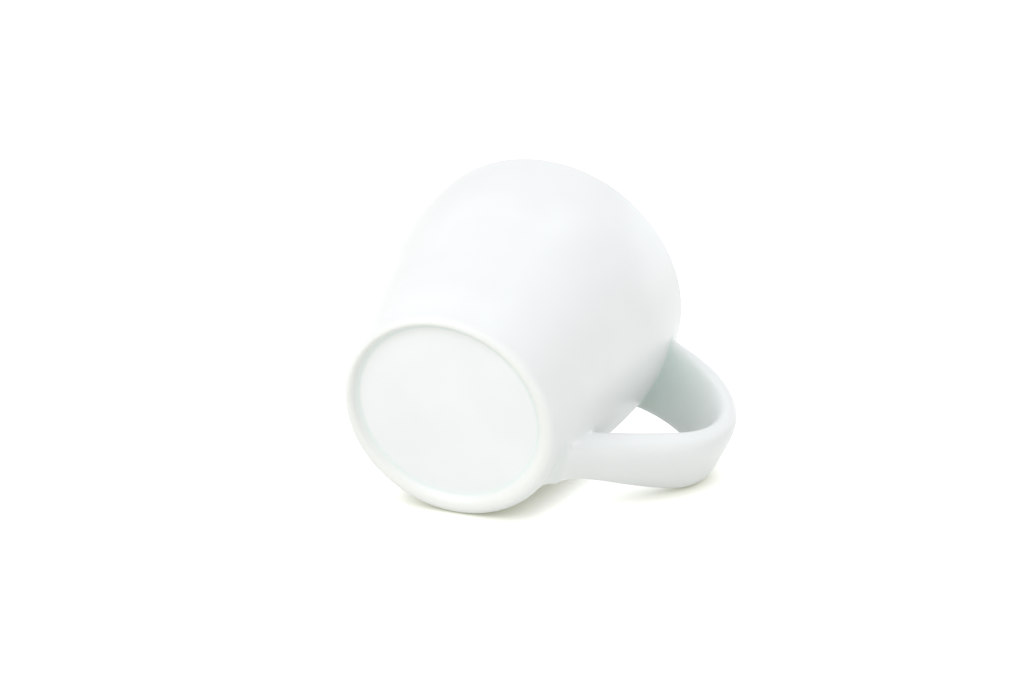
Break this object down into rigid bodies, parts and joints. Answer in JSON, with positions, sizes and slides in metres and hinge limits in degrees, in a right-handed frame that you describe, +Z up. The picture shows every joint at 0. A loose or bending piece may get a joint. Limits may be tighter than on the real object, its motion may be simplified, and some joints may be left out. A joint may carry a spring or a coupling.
{
  "type": "shaving mug",
  "caption": "Plain white glazed porcelain shaving mug with tapered wall, rounded shoulder, recessed foot ring and a broad flat strap handle luted on with slip.",
  "frame": {"origin": "on the surface that the mug stands on, under the centre of the bounding box of cup and handle, which is 14.3 mm from the cup's own turning axis towards the handle", "axes": "+Z up along the cup's turning axis, +X towards the handle, +Y by the right-hand rule across the strap"},
  "size_m": [0.1172, 0.0884, 0.0835],
  "materials": {
    "glazed_porcelain": "thick clear glaze over white porcelain, glossy, faintly blue-green where it pools",
    "handle_porcelain": "the same glossy clear glaze as the cup",
    "foot_porcelain": "thinly glazed white porcelain, a little warmer along the inner edge where the body shows through",
    "fired_slip": "matt white fired luting slip, covered by the glaze outside"
  },
  "bodies": {
    "root": {"cup_body": "glazed_porcelain", "foot_ring": "foot_porcelain", "foot_slip_joint": "fired_slip", "handle": "handle_porcelain", "lower_slip_joint": "fired_slip", "upper_slip_joint": "fired_slip"}
  },
  "joints": []
}
